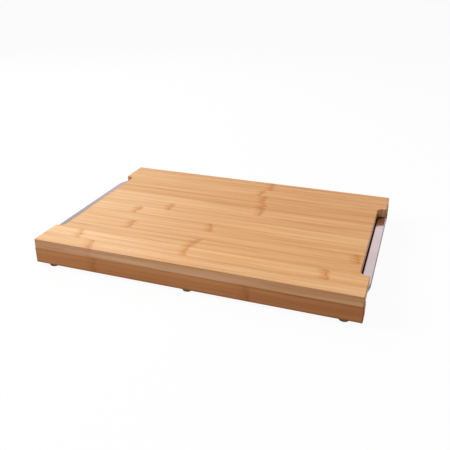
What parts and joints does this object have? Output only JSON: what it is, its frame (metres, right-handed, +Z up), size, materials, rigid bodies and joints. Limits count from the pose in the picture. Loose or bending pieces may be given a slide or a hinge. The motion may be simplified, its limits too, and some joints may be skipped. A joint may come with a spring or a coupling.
{
  "type": "cutting board with drawer trays",
  "caption": "Bamboo cutting board on low rails, with a steel tray sliding out of each short end through a finger notch.",
  "frame": {"origin": "on the worktop, in the middle of the whole part's footprint as it is drawn, with the left tray ajar; the board's own middle is 6.75 mm along +X from it", "axes": "+X along the board towards the right tray, +Y towards the rear rail, +Z up"},
  "size_m": [0.467, 0.32, 0.0404],
  "materials": {
    "bamboo_top": "oiled satin laminated bamboo, grain along X",
    "bamboo_frame": "oiled satin caramel bamboo, grain along the piece",
    "tray_steel": "satin stainless steel",
    "foot_rubber": "matt dark grey rubber",
    "screw_steel": "plain zinc-plated steel"
  },
  "bodies": {
    "board": {"top_board": "bamboo_top", "front_rail": "bamboo_frame", "rear_rail": "bamboo_frame", "centre_divider": "bamboo_frame", "front_left_foot": "foot_rubber", "front_middle_foot": "foot_rubber", "front_right_foot": "foot_rubber", "rear_left_foot": "foot_rubber", "rear_middle_foot": "foot_rubber", "rear_right_foot": "foot_rubber", "foot_screws": "screw_steel", "frame_screws": "screw_steel"},
    "left_tray": {"left_tray": "tray_steel"},
    "right_tray": {"right_tray": "tray_steel"}
  },
  "joints": [
    {"name": "left_tray_slide", "type": "slide", "parent": "board", "child": "left_tray", "axis": [-1, 0, 0], "range_m": [-0.0135, 0.1565]},
    {"name": "right_tray_slide", "type": "slide", "parent": "board", "child": "right_tray", "axis": [1, 0, 0], "range_m": [0, 0.17]}
  ]
}
